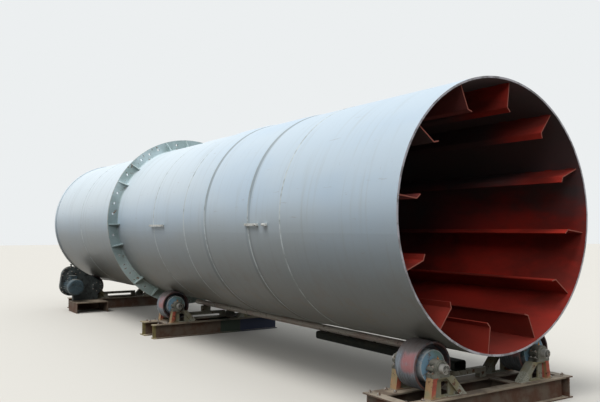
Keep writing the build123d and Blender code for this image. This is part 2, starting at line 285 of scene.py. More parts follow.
def flightLook(point):
    chips = {
        "primer": tint(176, 48, 35), "dark": tint(112, 35, 26), "dust": tint(104, 38, 28),
        "edge": tint(156, 92, 80), "insideShade": tint(72, 69, 70),
    }
    along, across, up = axesOf(point)
    blotch = noise(stretched(point, (0.4, 1, 1)), 3.2, 5, 0.6)
    colour = mixed(rise(blotch, 0.36, 0.7), chips["primer"], chips["dark"])
    height = (up - drum["axisHeight"]) / drum["outerRadius"]
    colour = mixed(fall(height, -0.85, -0.2) * 0.75, colour, chips["dust"])
    colour = mixed(worn(point, 14, 0.64, 0.68) * 0.5, colour, chips["dark"])
    litShare = rise(across, -0.7, 0.1) * 0.9  # the painted shade is left off the right side near the mouth, where light reaches
    # painted shade deep inside and above the middle
    colour = mixed(insideShadeOf(along, height, blotch, litShare), colour, chips["insideShade"])
    cutEnd = abs(along) > (drum["mouth"] - drum["flightGap"] - 0.0005)
    colour = mixed(cutEnd, colour, chips["edge"])
    grain = noise(point, 70, 3)
    return {"colour": colour, "rough": 0.66 + blotch * 0.15, "shine": 0.2, "bump": (grain, 0.25, 0.002)}


def flangeLook(point):
    chips = {
        "paint": tint(194, 211, 214), "shade": tint(160, 178, 177), "side": tint(114, 131, 133),
        "paintedLightBelow": tint(176, 194, 188), "rust": tint(120, 92, 70), "bare": tint(168, 166, 160),
    }
    _, across, up = axesOf(point)
    radius = radiusFrom(across, up, 0.0, drum["axisHeight"])
    cloud = noise(point, 3.5, 4)
    colour = mixed(rise(cloud, 0.35, 0.68), chips["paint"], chips["shade"])
    height = (up - drum["axisHeight"]) / flange["radius"]
    # painted shade on both sides of the flange, and painted light on its lower part
    sides = fall(abs(height + 0.1), 0.15, 0.5)
    colour = mixed(sides * 0.7, colour, chips["side"])
    colour = mixed(fall(height, -0.8, -0.3) * 0.7, colour, chips["paintedLightBelow"])
    colour = mixed(worn(point, 17, 0.62, 0.66), colour, chips["rust"])
    rim = rise(radius, flange["radius"] - 0.004, flange["radius"] - 0.001)
    colour = mixed(rim * worn(point, 12, 0.4, 0.5) * 0.7, colour, chips["bare"])
    return {"colour": colour, "rough": 0.5 + cloud * 0.2, "bump": (noise(point, 45, 4), 0.3, 0.002)}


def clipLook(point):
    chips = {"paint": tint(214, 216, 212), "grey": tint(150, 150, 144), "rust": tint(110, 84, 66)}
    cloud = noise(point, 20, 4)
    colour = mixed(rise(cloud, 0.42, 0.7), chips["paint"], chips["grey"])
    colour = mixed(worn(point, 60, 0.66, 0.7), colour, chips["rust"])
    return {"colour": colour, "rough": 0.5 + cloud * 0.2, "bump": (noise(point, 120, 3), 0.3, 0.001)}


roller = {
    "radius": 0.206, "treadFrom": 0.196, "rimFrom": 0.187, "hubTo": 0.139, "hubEdgeHighlight": (0.128, 0.134),
    "journalTo": 0.0405, "redMiddle": 0.035, "redHalf": (0.085, 0.13),
}


def rollerLook(point):
    # one material for all six: left and right fold on to each other
    chips = {
        "steel": tint(136, 144, 152), "steelDark": tint(84, 88, 94), "crown": tint(104, 92, 86),
        "red": tint(160, 104, 104), "hub": tint(126, 162, 184), "hubGreen": tint(108, 134, 116),
        "hubEdgeHighlight": tint(196, 200, 200), "rust": tint(112, 76, 58), "rim": tint(84, 58, 54),
        "recess": tint(44, 44, 50), "journal": tint(176, 174, 168),
    }
    along, across, up = axesOf(point)
    centre = spins[rollers[0]]
    side = abs(across)
    radius = radiusFrom(side, up, abs(centre.y), centre.z)
    cloud = noise(point, 9, 5, 0.6)
    turned = noise(stretched(point, (60, 3, 3)), 3, 4)
    height = (up - centre.z) / roller["radius"] + (cloud - 0.5) * 0.6
    # tread: bare and bluish, with painted shade that darkens it towards the bottom and a darker brown crown
    # of painted shade under the drum; old red paint at the side
    tread = mixed(rise(turned, 0.35, 0.7), chips["steel"], chips["steelDark"])
    tread = mixed(fall(height, -1.0, -0.55) * 0.7, tread, chips["steelDark"])
    tread = mixed(rise(height, 0.4, 0.75) * 0.75, tread, chips["crown"])
    offset = nearest(along, [spins[f"{stand}_left_roller"].x + roller["redMiddle"] for stand in standNames])
    band = rise(height, -0.28, -0.02) * fall(height, 0.4, 0.75) * rise(cloud + turned * 0.3, 0.4, 0.62)
    band = band * fall(offset + cloud * 0.06, *roller["redHalf"])
    tread = mixed(band * 0.85, tread, chips["red"])
    tread = mixed(worn(point, 30, 0.6, 0.68) * 0.6, tread, chips["rust"])
    # ends: blue-grey hub with a painted highlight on its edge, painted shade in the recess, brown rim
    slanted = height + (side - abs(centre.y)) * -4
    disc = mixed(rise(slanted, 0.1, 0.7) * 0.7, chips["hub"], chips["hubGreen"])
    disc = mixed(worn(point, 26, 0.54, 0.62) * 0.8, disc, chips["rust"])
    disc = mixed(rise(radius, *roller["hubEdgeHighlight"]) * rise(cloud, 0.4, 0.5) * 0.8, disc, chips["hubEdgeHighlight"])
    recess = mixed(rise(cloud, 0.5, 0.64), chips["recess"], chips["rim"])
    colour = mixed(radius > roller["hubTo"], disc, recess)
    rim = mixed(rise(cloud, 0.45, 0.62), chips["rim"], chips["steelDark"])
    colour = mixed(radius > roller["rimFrom"], colour, rim)
    ends = abs(facingOf(point)[0]) > 0.5
    outside = (radius > roller["treadFrom"]) * (1 - ends)
    colour = mixed(outside, colour, tread)
    shaft = radius < roller["journalTo"]
    colour = mixed(shaft, colour, chips["journal"])
    metal = 0.05 + outside * 0.5 + shaft * 0.5
    return {"colour": colour, "rough": 0.42 + cloud * 0.25, "metal": metal, "bump": (turned, 0.2, 0.001)}


def bearingLook(point):
    chips = {"iron": tint(122, 122, 112), "grease": tint(64, 62, 54), "dust": tint(168, 162, 150)}
    cloud = noise(point, 14, 5, 0.6)
    colour = mixed(rise(cloud, 0.4, 0.66), chips["iron"], chips["grease"])
    top = facingOf(point)[2]
    colour = mixed(rise(top, 0.4, 0.95) * rise(cloud, 0.3, 0.55) * 0.7, colour, chips["dust"])
    grain = noise(point, 130, 3)
    return {"colour": colour, "rough": 0.45 + cloud * 0.3, "metal": 0.25, "bump": (grain, 0.5, 0.0015)}


def pedestalLook(point):
    chips = {
        "orange": tint(186, 98, 76), "red": tint(148, 74, 62), "olive": tint(138, 130, 100),
        "tan": tint(160, 128, 94), "speckle": tint(184, 182, 168), "grey": tint(138, 138, 124),
        "rust": tint(96, 66, 48),
    }
    spans = {"foot": (0.2, 0.25), "outerLeg": (0.668, 0.676), "innerLeg": (0.56, 0.6)}
    _, across, up = axesOf(point)
    side = abs(across)
    cloud = noise(point, 8, 5, 0.6)
    legs = mixed(rise(cloud, 0.4, 0.62), chips["orange"], chips["red"])
    legs = mixed(fall(up + (cloud - 0.5) * 0.12, *spans["foot"]), legs, chips["tan"])
    fronts = mixed(rise(cloud, 0.42, 0.58), chips["olive"], chips["tan"])
    legs = mixed(abs(facingOf(point)[0]) > 0.5, fronts, legs)
    web = mixed(rise(cloud, 0.38, 0.62), chips["olive"], chips["grey"])
    colour = mixed(rise(side, *spans["outerLeg"]), web, legs)
    flecks = rise(noise(point, 110, 2), 0.46, 0.56)
    speckled = mixed(flecks * 0.6, chips["grey"], chips["speckle"])
    colour = mixed(fall(side + up * 0.5, *spans["innerLeg"]), colour, speckled)
    colour = mixed(worn(point, 24, 0.58, 0.64), colour, chips["rust"])
    return {"colour": colour, "rough": 0.6 + cloud * 0.2, "bump": (noise(point, 90, 4), 0.4, 0.0015)}


def atMiddleStand(along):
    return fall(abs(along - spins["middle_left_roller"].x), 0.4, 0.42)


def beamLook(point):
    chips = {
        "brown": tint(104, 90, 77), "rust": tint(88, 60, 45), "dust": tint(168, 156, 136),
        "navy": tint(52, 58, 78), "green": tint(56, 66, 56), "olive": tint(140, 130, 84),
    }
    # the middle stand's coats across the drum, and the height of the beams' upper edge, where a highlight is
    # painted
    spans = {"olive": (-0.985, -0.975), "green": (0.05, 0.06), "navy": (0.38, 0.4), "edgeHighlight": (0.1865, 0.188)}
    along, across, up = axesOf(point)
    cloud = noise(point, 4, 6, 0.62)
    colour = mixed(rise(cloud, 0.4, 0.62), chips["brown"], chips["rust"])
    middle = atMiddleStand(along)
    colour = mixed(middle * rise(across, *spans["navy"]), colour, chips["navy"])
    green = rise(across, *spans["green"]) * fall(across, *spans["navy"])
    colour = mixed(middle * green, colour, chips["green"])
    olive = middle * fall(across, *spans["olive"])
    colour = mixed(olive * rise(cloud, 0.36, 0.5) * 0.85, colour, chips["olive"])
    top = facingOf(point)[2]
    # painted highlight along the top of the side faces, just under the upper edge
    edgeHighlight = rise(up, *spans["edgeHighlight"]) * (1 - rise(top, 0.4, 0.6))
    colour = mixed(edgeHighlight * rise(cloud, 0.3, 0.5) * 0.6, colour, chips["dust"])
    colour = mixed(rise(top, 0.5, 0.9) * rise(cloud, 0.35, 0.6) * 0.75, colour, chips["dust"])
    return {"colour": colour, "rough": 0.68 + cloud * 0.15, "bump": (noise(point, 60, 5), 0.45, 0.002)}


def tieLook(point):
    chips = {
        "paint": tint(104, 92, 80), "rust": tint(92, 58, 42), "dust": tint(164, 154, 138),
        "olive": tint(150, 140, 90),
    }
    along, across, _ = axesOf(point)
    cloud = noise(point, 5, 6, 0.62)
    colour = mixed(rise(cloud, 0.4, 0.62), chips["paint"], chips["rust"])
    olive = atMiddleStand(along) * fall(across, -0.92, -0.9)
    colour = mixed(olive * rise(cloud, 0.4, 0.5) * 0.8, colour, chips["olive"])
    top = facingOf(point)[2]
    colour = mixed(rise(top, 0.5, 0.9) * rise(cloud, 0.3, 0.55) * 0.8, colour, chips["dust"])
    return {"colour": colour, "rough": 0.7 + cloud * 0.15, "bump": (noise(point, 60, 5), 0.45, 0.002)}


def barLook(point):
    chips = {"paint": tint(166, 162, 146), "dull": tint(128, 122, 106), "rust": tint(104, 74, 54)}
    cloud = noise(point, 6, 6, 0.62)
    colour = mixed(rise(cloud, 0.4, 0.62), chips["paint"], chips["dull"])
    colour = mixed(worn(point, 15, 0.58, 0.64), colour, chips["rust"])
    return {"colour": colour, "rough": 0.66 + cloud * 0.15, "bump": (noise(point, 60, 5), 0.45, 0.002)}


def spineLook(point):
    chips = {"paint": tint(30, 33, 28), "worn": tint(56, 56, 48), "dust": tint(96, 92, 82)}
    cloud = noise(stretched(point, (0.4, 1, 1)), 8, 5, 0.6)
    colour = mixed(rise(cloud, 0.5, 0.7), chips["paint"], chips["worn"])
    top = facingOf(point)[2]
    colour = mixed(rise(top, 0.6, 0.95) * rise(cloud, 0.35, 0.6) * 0.3, colour, chips["dust"])
    grain = noise(point, 80, 4)
    return {"colour": colour, "rough": 0.7 + cloud * 0.2, "shine": 0.2, "bump": (grain, 0.3, 0.001)}


def pipeLook(point):
    chips = {"paint": tint(236, 233, 224), "pink": tint(226, 206, 198), "dirt": tint(168, 160, 146)}
    cloud = noise(stretched(point, (0.5, 2, 2)), 5, 5, 0.6)
    colour = mixed(rise(cloud, 0.4, 0.66), chips["paint"], chips["pink"])
    colour = mixed(worn(point, 22, 0.56, 0.66) * 0.7, colour, chips["dirt"])
    return {"colour": colour, "rough": 0.5 + cloud * 0.2, "bump": (noise(point, 80, 4), 0.3, 0.001)}


def caseLook(point):
    chips = {"paint": tint(62, 68, 68), "oil": tint(30, 32, 32), "dust": tint(110, 104, 92)}
    cloud = noise(point, 9, 5, 0.6)
    colour = mixed(rise(cloud, 0.45, 0.66), chips["paint"], chips["oil"])
    colour = mixed(rise(facingOf(point)[2], 0.5, 0.95) * 0.5, colour, chips["dust"])
    return {"colour": colour, "rough": 0.42 + cloud * 0.3, "bump": (noise(point, 90, 4), 0.4, 0.001)}


def motorLook(point):
    chips = {"paint": tint(66, 84, 92), "worn": tint(52, 58, 60), "dust": tint(128, 120, 106)}
    cloud = noise(point, 11, 5, 0.6)
    colour = mixed(rise(cloud, 0.45, 0.7), chips["paint"], chips["worn"])
    top = facingOf(point)[2]
    colour = mixed(rise(top, 0.5, 0.95) * rise(cloud, 0.3, 0.6) * 0.6, colour, chips["dust"])
    return {"colour": colour, "rough": 0.42 + cloud * 0.25, "bump": (noise(point, 120, 3), 0.3, 0.001)}


def weldLook(point):
    chips = {"paint": tint(192, 201, 204), "shade": tint(150, 157, 158), "weldStepShade": tint(138, 148, 150)}
    along, _, up = axesOf(point)
    cloud = noise(point, 14, 4)
    colour = mixed(rise(cloud, 0.44, 0.7), chips["paint"], chips["shade"])
    # painted shadow of the plate steps: the beads there are darker on the upper half
    upperHalf = rise(up - drum["axisHeight"], -0.1, 0.35)
    step = fall(nearest(along, drum["steps"]), 0.02, 0.03)
    colour = mixed(upperHalf * step * 0.9, colour, chips["weldStepShade"])
    ripples = noise(point, 160, 2)
    return {"colour": colour, "rough": 0.45 + cloud * 0.15, "bump": (ripples, 0.5, 0.0015)}


def boltLook(point):
    chips = {"zinc": tint(172, 170, 164), "rust": tint(112, 82, 62)}
    cloud = noise(point, 60, 4, 0.6)
    colour = mixed(rise(cloud, 0.42, 0.6), chips["zinc"], chips["rust"])
    grain = noise(point, 200, 3)
    return {"colour": colour, "rough": 0.42 + cloud * 0.3, "metal": 0.6, "bump": (grain, 0.3, 0.0005)}


def journalLook(point):
    chips = {"steel": tint(132, 130, 124), "grease": tint(58, 56, 52), "rust": tint(116, 92, 74)}
    cloud = noise(point, 40, 5, 0.6)
    colour = mixed(rise(cloud, 0.42, 0.6), chips["steel"], chips["grease"])
    colour = mixed(worn(point, 70, 0.6, 0.66), colour, chips["rust"])
    grain = noise(point, 220, 3)
    return {"colour": colour, "rough": 0.35 + cloud * 0.3, "metal": 0.5, "bump": (grain, 0.3, 0.0005)}


def brassLook(point):
    chips = {"brass": tint(206, 150, 84), "dull": tint(124, 84, 52)}
    cloud = noise(point, 90, 4)
    colour = mixed(rise(cloud, 0.42, 0.6), chips["brass"], chips["dull"])
    grain = noise(point, 240, 2)
    return {"colour": colour, "rough": 0.3 + cloud * 0.2, "metal": 0.7, "bump": (grain, 0.2, 0.0003)}


looks = {
    "shell": surface("shellPaint", shellLook), "flight": surface("flightPrimer", flightLook),
    "flange": surface("flangePaint", flangeLook), "clip": surface("clipSteel", clipLook),
    "roller": surface("rollerSteel", rollerLook), "bearing": surface("bearingIron", bearingLook),
    "pedestal": surface("pedestalPaint", pedestalLook), "beam": surface("beamPaint", beamLook),
    "tie": surface("tiePaint", tieLook), "bar": surface("barPaint", barLook),
    "spine": surface("spineSteel", spineLook), "pipe": surface("pipeSteel", pipeLook),
    "case": surface("casePaint", caseLook), "motor": surface("motorPaint", motorLook),
    "weld": surface("weldPaint", weldLook), "bolt": surface("boltZinc", boltLook),
    "journal": surface("journalSteel", journalLook), "brass": surface("brass", brassLook),
}
nodeLooks = (
    ("shell_segment", "shell"), ("flight_", "flight"), ("girth_flange", "flange"),
    ("flange_gussets", "flange"), ("shell_clips", "clip"), ("_roller", "roller"), ("_bearings", "bearing"),
    ("_pedestals", "pedestal"), ("_base_beams", "beam"), ("_base_ties", "tie"), ("cross_bars", "bar"),
    ("spine_tube", "spine"), ("spacer_pipe", "pipe"), ("drive_gear_case", "case"), ("drive_motor", "motor"),
    ("drive_plinth", "beam"),
)
for name, node in nodes.items():
    look = next(value for part, value in nodeLooks if part in name)
    for slot in node.material_slots:
        slot.material = looks[look]
print("materials:", len(looks))


# Added pieces: welds, bolts, seals and covers, each a mesh that rides on a body
random.seed(11)
scratch = bpy.data.meshes.new("scratch")
counts = {}
bead = {"sides": 7, "edge": 0.45, "sunk": 0.001}
bolt = {  # lift, radius, length, sides and edge of each part, in bolt sizes but for the sides
    "washer": (0.1, 1.15, 0.2, 16, 0),
    "nut": (0.55, 0.95, 0.75, 6, 0.08),
    "thread": (1.05, 0.5, 0.7, 10, 0.08),
}
sharpFrom = math.radians(38)


def placed(centre, direction=(0, 0, 1)):
    turn = Vector((0, 0, 1)).rotation_difference(Vector(direction))
    return Matrix.Translation(centre) @ turn.to_matrix().to_4x4()


def addShape(mesh, small, edges, edge):
    # bevels a small shape by itself and puts it into the piece's mesh
    if edge:
        bmesh.ops.bevel(small, geom=edges, offset=edge, segments=2, profile=0.5, affect="EDGES", material=-1)
    small.to_mesh(scratch)
    small.free()
    mesh.from_mesh(scratch)


def addRod(mesh, centre, direction, radius, length, sides=20, edge=0.0):
    small = bmesh.new()
    bmesh.ops.create_cone(
        small, cap_ends=True, segments=sides, radius1=radius, radius2=radius, depth=length,
        matrix=placed(centre, direction))
    rims = {line for cap in small.faces if len(cap.verts) > 4 for line in cap.edges}
    addShape(mesh, small, list(rims), edge)


def addStud(mesh, foot, direction, stud):
    # a rod with its middle lifted off foot; stud is lift, radius, length, sides and edge
    lift, *rod = stud
    addRod(mesh, Vector(foot) + Vector(direction) * lift, direction, *rod)


def addBlock(mesh, centre, size, edge=0.003):
    small = bmesh.new()
    matrix = Matrix.Translation(centre) @ Matrix.Diagonal((*size, 1.0))
    bmesh.ops.create_cube(small, size=1.0, matrix=matrix)
    addShape(mesh, small, small.edges[:], edge)


def addBolt(mesh, foot, direction, size):
    # washer, hexagon nut and the thread's end, standing on foot
    for lift, radius, length, sides, edge in bolt.values():
        addStud(mesh, foot, direction, (size * lift, size * radius, size * length, sides, size * edge))


def addBead(mesh, start, end, radius):
    start = Vector(start)
    end = Vector(end)
    addRod(mesh, (start + end) / 2, end - start, radius, (end - start).length, bead["sides"],
           radius * bead["edge"])


def addRing(mesh, outline, centre, steps):
    # a closed outline of (along, radius) turned about the line through centre (across, up)
    verts = [mesh.verts.new((along, centre[0], centre[1] + radius)) for along, radius in outline]
    lines = [mesh.edges.new((verts[number - 1], verts[number])) for number in range(len(verts))]
    bmesh.ops.spin(
        mesh, geom=verts + lines, cent=(0, centre[0], centre[1]), axis=(1, 0, 0), dvec=(0, 0, 0),
        angle=math.tau, steps=steps, use_merge=True, use_duplicate=False)


def keep(name, mesh, look, body):
    bmesh.ops.recalc_face_normals(mesh, faces=mesh.faces)
    data = bpy.data.meshes.new(name)
    mesh.to_mesh(data)
    mesh.free()
    data.shade_smooth()
    data.set_sharp_from_angle(angle=sharpFrom)
    data.materials.append(looks[look])
    piece = bpy.data.objects.new(name, data)
    bpy.context.scene.collection.objects.link(piece)
    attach(piece, body)
    counts[name] = sum(len(face.vertices) - 2 for face in data.polygons)


def onCircle(centre, radius, angle):
    # a point on a circle square to the drum's axis, at degrees from +y towards +z
    turn = math.radians(angle)
    return Vector((centre[0], centre[1] + radius * math.cos(turn), centre[2] + radius * math.sin(turn)))


def around(angle, radius, offset=0.0, base=1.0):
    # a point (across, up) of the drum's cross-section, moved sideways by an offset at the base radius
    turn = math.radians(angle + math.degrees(offset / base))
    return radius * math.cos(turn), drum["axisHeight"] + radius * math.sin(turn)


def radiusAt(station):
    radius = drum["outerRadius"]
    for start, end, extra in drum["coursesRise"]:
        if start < station < end:
            radius = drum["outerRadius"] + extra
    return radius


# Shell: a ring seam at each joint of two courses, and one lengthwise seam a course
seams = {
    "stations": (1.716, 2.363, 3.405, 4.011, 5.056, 6.81, 8.64), "half": 0.013, "height": 0.004,
    "section": ((-1, -0.3), (-0.62, 0.7), (0, 1), (0.62, 0.7), (1, -0.3)), "steps": 200, "uneven": 0.0005,
    "lengthwise": (22, -38, 14, -20, 30, -44, 8, -28), "gap": 0.045, "trackHalf": 0.14, "sunk": 0.005,
    "bead": 0.0085,
}
mesh = bmesh.new()
for station in seams["stations"]:
    outline = [(drum["mouth"] - station + seams["half"] * x, radiusAt(station) + seams["height"] * r)
               for x, r in seams["section"]]
    addRing(mesh, outline, (0, drum["axisHeight"]), seams["steps"])
for vert in mesh.verts:
    vert.co.x += random.uniform(-1, 1) * seams["uneven"]
tracks = sorted({drum["mouth"] - spins[body].x for body in rollers})
ends = (0.0, *seams["stations"], 2 * drum["mouth"] - drum["farBand"])
for start, end, angle in zip(ends, ends[1:], seams["lengthwise"]):
    place = around(angle, radiusAt((start + end) / 2) - seams["sunk"])
    stops = [start + seams["gap"]]
    for track in tracks:
        if start < track < end:  # the bead is ground flush where a roller runs
            stops += [track - seams["trackHalf"], track + seams["trackHalf"]]
    stops.append(end - seams["gap"])
    for first, last in zip(stops[::2], stops[1::2]):
        addBead(mesh, (drum["mouth"] - first, *place), (drum["mouth"] - last, *place), seams["bead"])
keep("shellSeams", mesh, "weld", "drum")


# Flange: fillet welds to the shell on both faces, and welds on both sides of each gusset
fillet = {"size": 0.014, "outline": ((-0.1, 0), (1, 0), (0.72, 0.4), (0.4, 0.72), (0, 1), (-0.1, 1))}
gussets = {
    "groups": 8, "first": 9.75, "spread": 7.5, "half": 0.007, "length": 0.118, "height": 0.14, "bead": 0.0055,
}
mesh = bmesh.new()
for face, way in ((flange["front"], 1), (flange["back"], -1)):
    outline = [(face + way * fillet["size"] * x, drum["outerRadius"] - bead["sunk"] + fillet["size"] * r)
               for x, r in fillet["outline"]]
    addRing(mesh, outline, (0, drum["axisHeight"]), seams["steps"])
face = flange["front"]
for group in range(gussets["groups"]):
    for spread in (-gussets["spread"], gussets["spread"]):
        middle = gussets["first"] + group * 360 / gussets["groups"] + spread
        for half in (-gussets["half"], gussets["half"]):
            low = around(middle, drum["outerRadius"] + bead["sunk"], half, drum["outerRadius"])
            high = around(middle, drum["outerRadius"] + gussets["height"], half, flange["radius"])
            addBead(mesh, (face, *low), (face + gussets["length"], *low), gussets["bead"])
            addBead(mesh, (face + bead["sunk"], *low), (face + bead["sunk"], *high), gussets["bead"])
keep("flangeWelds", mesh, "flange", "drum")


# Flights: stitch welds along both sides of each root
stitches = {
    "flights": 12, "first": 22.5, "start": 0.07, "pitch": 0.24, "uneven": 0.012, "length": 0.085,
    "bead": 0.006, "beside": 0.0065,
}
mesh = bmesh.new()
perRun = int((2 * drum["mouth"] - 2 * stitches["start"]) / stitches["pitch"])
for flight in range(stitches["flights"]):
    for offset in (-stitches["beside"], stitches["beside"]):
        angle = stitches["first"] + flight * 360 / stitches["flights"]
        place = around(angle, drum["innerRadius"] - bead["sunk"], offset, drum["innerRadius"])
        for number in range(perRun + 1):
            start = drum["mouth"] - stitches["start"] - number * stitches["pitch"]
            start += random.uniform(-stitches["uneven"], stitches["uneven"])
            addBead(mesh, (start, *place), (start - stitches["length"], *place), stitches["bead"])
keep("flightStitches", mesh, "flight", "drum")


# Clips: the studs' nuts on the outside of each bar, and welds at the feet
clips = {
    "angle": 183.5, "runs": ((4.64, 5.12), (2.125, 2.39), (1.945, 2.03)), "footInset": 0.03,
    "height": 0.030, "bolt": 0.009, "weld": 0.012, "bead": 0.004,
}
mesh = bmesh.new()
for angle in (clips["angle"], clips["angle"] + 180):
    outwards = onCircle((0, 0, 0), 1, angle)
    for start, end in clips["runs"]:
        for station in (start + clips["footInset"], end - clips["footInset"]):
            foot = Vector((drum["mouth"] - station, *around(angle, radiusAt(start))))
            addBolt(mesh, foot + outwards * clips["height"], outwards, clips["bolt"])
            for shift in (-clips["weld"], clips["weld"]):
                addBead(mesh, foot + Vector((shift, 0, clips["weld"])),
                        foot + Vector((shift, 0, -clips["weld"])), clips["bead"])
keep("clipNuts", mesh, "clip", "drum")
print("drum pieces:", counts)


# Rollers: a plate with three bolts on each journal end, and a collar at the hub
journal = {
    "front": 0.270, "rear": 0.345, "plate": 0.034, "thick": 0.006, "sides": 28, "edge": 0.0015,
    "boltCircle": 0.021, "boltAngles": (90, 210, 330), "bolt": 0.0055,
}
hub = {
    "face": 0.120, "bore": 0.0402, "collar": 0.058, "neck": 0.047, "step": 0.016, "sunk": 0.001, "steps": 32,
}
for name in rollers:
    middle = spins[name]
    mesh = bmesh.new()
    for end, way in ((journal["front"], 1), (-journal["rear"], -1)):
        if way > 0 and name == "far_left_roller":  # this end is inside the gear case
            continue
        face = middle.x + end
        addRod(mesh, (face + way * journal["thick"] / 2, middle.y, middle.z), (way, 0, 0), journal["plate"],
               journal["thick"], journal["sides"], journal["edge"])
        for angle in journal["boltAngles"]:
            foot = onCircle((face + way * journal["thick"], middle.y, middle.z), journal["boltCircle"], angle)
            addBolt(mesh, foot, (way, 0, 0), journal["bolt"])
    face = middle.x - hub["face"]
    outline = [(face + hub["sunk"], hub["bore"]), (face + hub["sunk"], hub["collar"]),
               (face - hub["step"], hub["neck"]), (face - hub["step"], hub["bore"])]
    addRing(mesh, outline, (middle.y, middle.z), hub["steps"])
    keep(f"{name}_ends", mesh, "journal", name)
print("roller pieces:", len(rollers))


# Bearings: cap ears with bolts, the joint between cap and base, seals, foot bolts and a grease nipple
bearing = {
    "places": (0.175, -0.250), "half": 0.045, "radius": 0.068, "bore": 0.0425, "drop": 0.075,
    "footHeight": 0.034, "ear": (0.078, 0.022, 0.030), "earPlace": 0.078, "boltPlace": 0.079,
    "boltApart": 0.024, "bolt": 0.010, "joint": 0.003, "jointProud": 0.001, "jointEdge": 0.0005,
    "seal": ((-0.001, 0.0415), (-0.001, 0.059), (0.004, 0.057), (0.005, 0.0415)), "sealSteps": 32,
    "nipple": ((0.006, 0.008, 0.014, 6, 0.001), (0.018, 0.004, 0.014, 12, 0.001)),
}
caps = bmesh.new()
nuts = bmesh.new()
nipples = bmesh.new()
reach = bearing["radius"] + bearing["jointProud"] - bearing["bore"]
joint = (2 * (bearing["half"] + bearing["jointProud"]), reach, bearing["joint"])
for name in rollers:
    for offset in bearing["places"]:
        middle = spins[name] + Vector((offset, 0, 0))
        for side in (-1, 1):
            addBlock(caps, middle + Vector((0, side * (bearing["bore"] + reach / 2), 0)), joint,
                     bearing["jointEdge"])
            addBlock(caps, middle + Vector((0, side * bearing["earPlace"], 0)), bearing["ear"])
            if name != "far_left_roller" or offset < 0 or side < 0:  # the gear case covers that one
                face = middle.x + side * bearing["half"]
                outline = [(face + side * out, radius) for out, radius in bearing["seal"]]
                addRing(caps, outline, (middle.y, middle.z), bearing["sealSteps"])
            for shift in (-bearing["boltApart"], bearing["boltApart"]):
                for up in (bearing["ear"][2] / 2, bearing["footHeight"] - bearing["drop"]):
                    foot = middle + Vector((shift, side * bearing["boltPlace"], up))
                    addBolt(nuts, foot, (0, 0, 1), bearing["bolt"])
        for part in bearing["nipple"]:
            addStud(nipples, middle + Vector((0, 0, bearing["radius"])), (0, 0, 1), part)
keep("bearingCaps", caps, "bearing", "stands")
keep("bearingBolts", nuts, "bolt", "stands")
keep("greaseNipples", nipples, "brass", "stands")
print("bearing pieces: 3")


# Stand welds: round each pedestal's foot, where ties meet beams, and at the bars' feet
beams = {
    "top": 0.2, "frontRear": 0.14, "rearFront": -0.12, "tie": 0.34, "tieHalf": 0.045, "openTie": 0.76,
    "openHalf": 0.05, "tieBead": 0.005,
}
pedestalFoot = {"half": 0.04, "outer": 0.115, "inner": 0.3, "lift": 0.002, "bead": 0.006}
bars = {"shift": -0.210, "half": 0.03, "foot": 0.29, "footHalf": 0.04}
footTop = beams["top"] + pedestalFoot["lift"]
mesh = bmesh.new()
for name in rollers:
    side = -1 if spins[name].y < 0 else 1
    for offset in bearing["places"]:
        middle = Vector((spins[name].x + offset, spins[name].y, footTop))
        half = pedestalFoot["half"]
        outer = side * pedestalFoot["outer"]
        inner = -side * pedestalFoot["inner"]
        corners = [Vector((*corner, 0)) for corner in (
            (half, outer), (half, inner), (-half, inner), (-half, outer))]
        for number, corner in enumerate(corners):
            addBead(mesh, middle + corners[number - 1], middle + corner, pedestalFoot["bead"])
for stand in standNames:
    middle = spins[f"{stand}_left_roller"].x
    ties = [(beams["tie"], beams["tieHalf"])]
    if stand != "near":
        ties.append((beams["openTie"], beams["openHalf"]))
    for side in (-1, 1):
        for edge in (beams["frontRear"], beams["rearFront"]):
            for centre, half in ties:
                start, end = ((middle + edge, side * centre + reach, beams["top"] - bead["sunk"])
                              for reach in (-half, half))
                addBead(mesh, start, end, beams["tieBead"])
        for way in (-1, 1):
            across = side * bars["foot"] + way * bars["footHalf"]
            start, end = ((middle + bars["shift"] + reach, across, footTop)
                          for reach in (-bars["half"], bars["half"]))
            addBead(mesh, start, end, pedestalFoot["bead"])
keep("standWelds", mesh, "beam", "stands")


# Anchor bolts at the beams' ends, and clamping bolts beside each pedestal's outer foot
anchors = {
    "size": 0.016, "ends": {"near": 0.98, "middle": 0.93, "far": 0.93}, "beside": 0.165,
    "places": (0.172, -0.165, -0.285),
}
mesh = bmesh.new()
for name in rollers:
    middle = spins[name]
    stand = name.split("_")[0]
    for along in anchors["places"]:
        for across in (anchors["ends"][stand], abs(middle.y) + anchors["beside"]):
            place = (middle.x + along, math.copysign(across, middle.y), beams["top"])
            addBolt(mesh, place, (0, 0, 1), anchors["size"])
keep("anchorBolts", mesh, "bolt", "stands")


# Spine and pipe: tack welds at the bar, along the pipe and at the saddle
spine = {
    "edge": 0.057, "bottom": 0.290, "top": 0.380, "lift": 0.004, "pipe": 0.022, "barBead": 0.008,
    "bead": 0.006, "tack": 0.045, "tacks": 5, "first": 0.85, "pitch": 0.42,
}
saddle = {"station": 5.90, "half": 0.03}
mesh = bmesh.new()
nearBar = spins["near_left_roller"].x + bars["shift"]
for side in (-1, 1):
    place = (side * spine["edge"], spine["bottom"] + spine["lift"])
    addBead(mesh, (nearBar - bars["half"], *place), (nearBar + bars["half"], *place), spine["barBead"])
    place = (side * spine["pipe"], spine["top"] + spine["lift"])
    for number in range(spine["tacks"]):
        start = drum["mouth"] - spine["first"] - number * spine["pitch"]
        addBead(mesh, (start, *place), (start - spine["tack"], *place), spine["bead"])
    middle = drum["mouth"] - saddle["station"]
    addBead(mesh, (middle - saddle["half"], *place), (middle + saddle["half"], *place), spine["bead"])
keep("tubeTacks", mesh, "spine", "stands")
print("stand pieces done")


